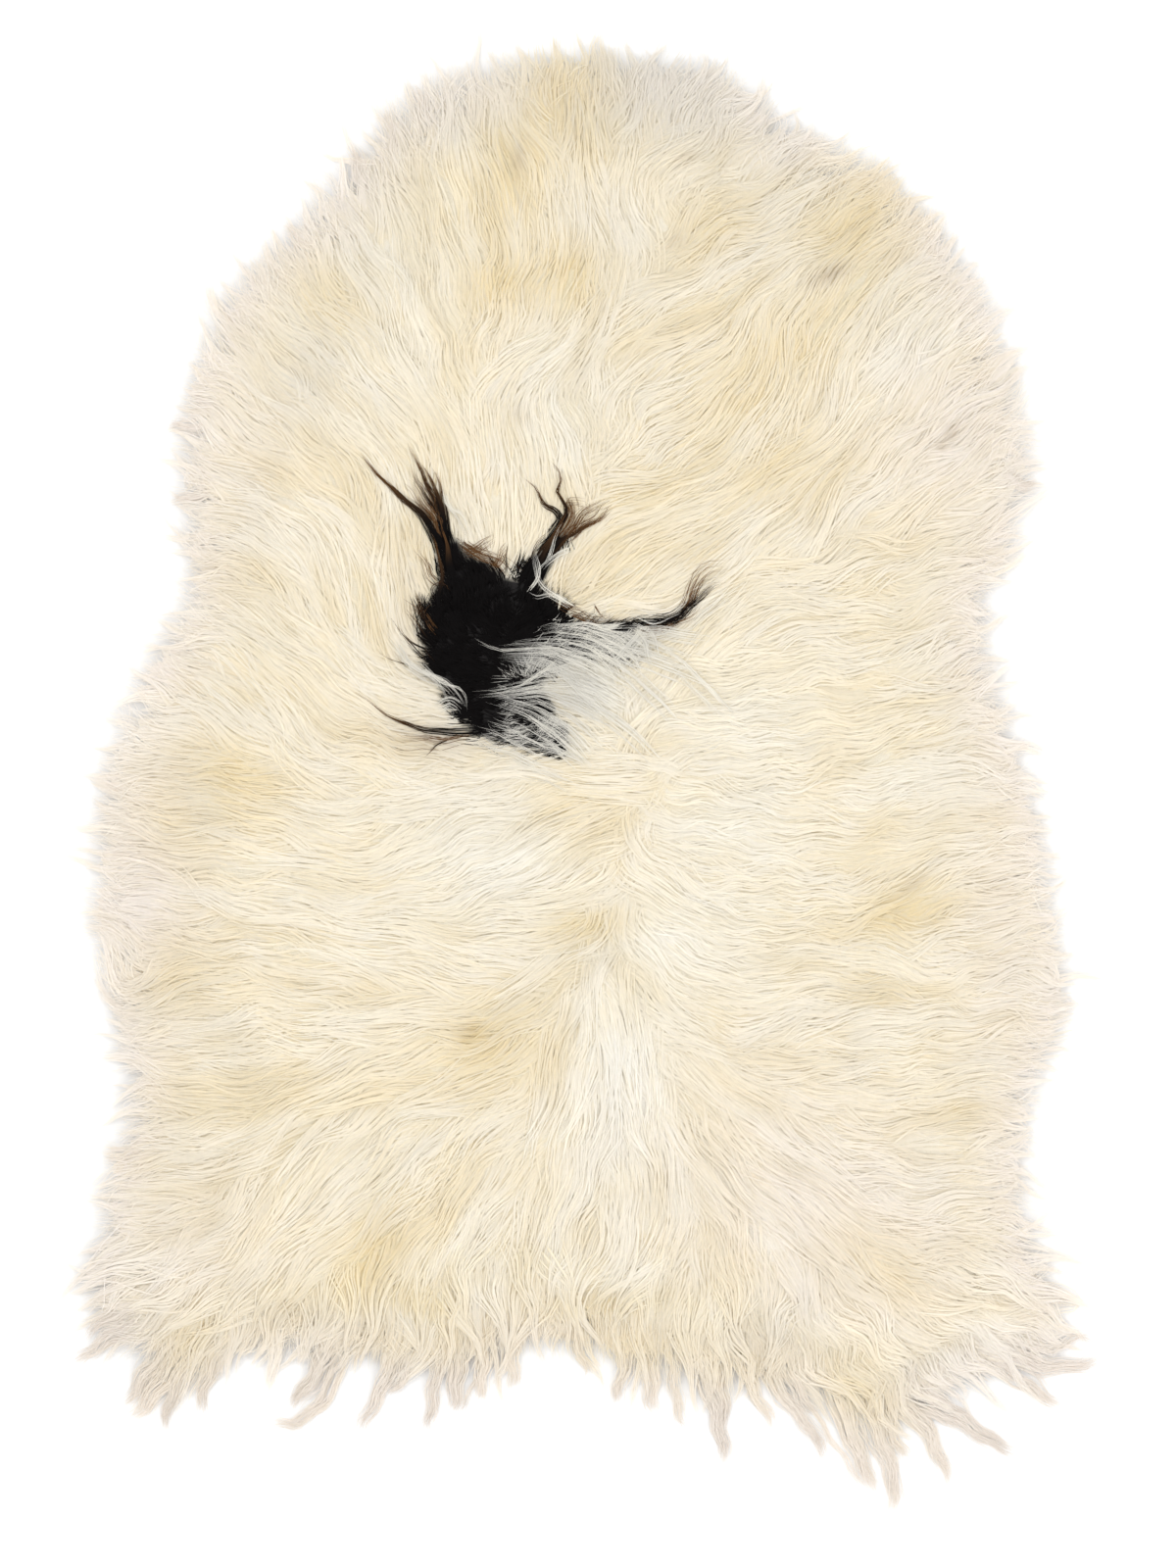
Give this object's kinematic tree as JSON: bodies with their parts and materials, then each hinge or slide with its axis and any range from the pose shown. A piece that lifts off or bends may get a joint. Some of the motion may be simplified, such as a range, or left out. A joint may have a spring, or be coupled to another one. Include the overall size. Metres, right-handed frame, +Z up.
{
  "type": "sheepskin rug",
  "caption": "Flat whole sheepskin with long shaggy cream wool and a small black patch, laid as a floor rug or thrown over a seat.",
  "frame": {"origin": "on the floor, under the middle of the skin's box", "axes": "+Y along the back towards the neck, +X to the right seen from above, +Z up out of the wool"},
  "size_m": [0.8284, 1.1548, 0.069],
  "materials": {
    "wool": "long soft wool, cream, with yellower roots",
    "dark_wool": "long soft wool, black with brown and grey tips",
    "hide": "tanned hide, suede side down"
  },
  "bodies": {
    "root": {"sheepskin": "wool"}
  },
  "joints": []
}
